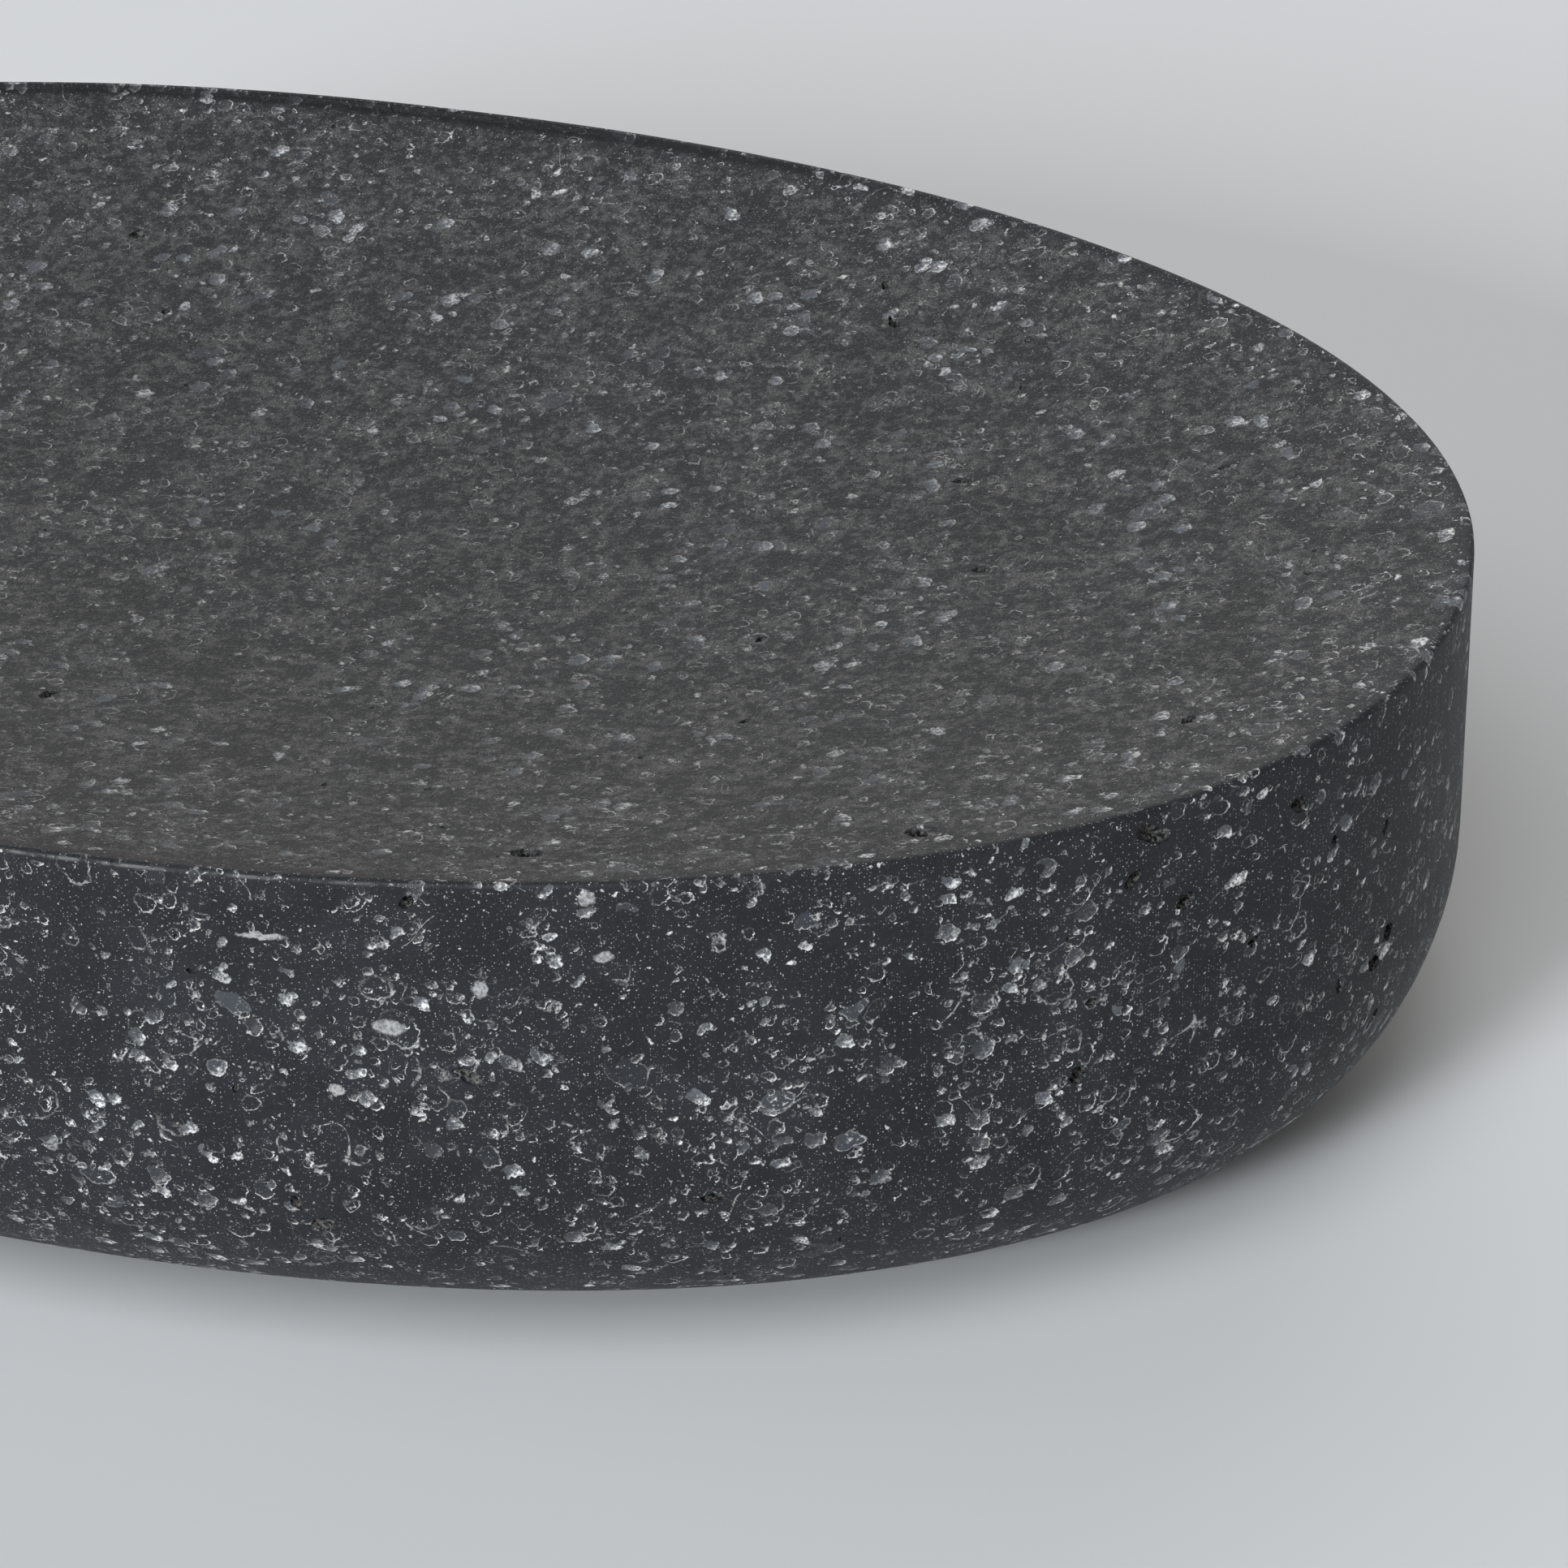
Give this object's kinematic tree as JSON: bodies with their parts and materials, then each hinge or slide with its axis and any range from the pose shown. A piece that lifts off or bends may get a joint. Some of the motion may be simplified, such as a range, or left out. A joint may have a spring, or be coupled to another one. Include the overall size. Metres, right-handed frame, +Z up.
{
  "type": "massage stone",
  "caption": "Thick oval basalt massage stone with a flat base, a rounded lower edge, an upright side and a shallow dished top inside a crisp rim.",
  "frame": {"origin": "centre of the bounding box on the flat base, the plane that the stone rests on", "axes": "+X along the oval's long axis, +Y across its width, +Z up through the thickness, dished face up"},
  "size_m": [0.11, 0.068, 0.0254],
  "materials": {
    "basalt": "honed matt charcoal basalt with pale crystal grains and small pits"
  },
  "bodies": {
    "root": {"stone_body": "basalt"}
  },
  "joints": []
}
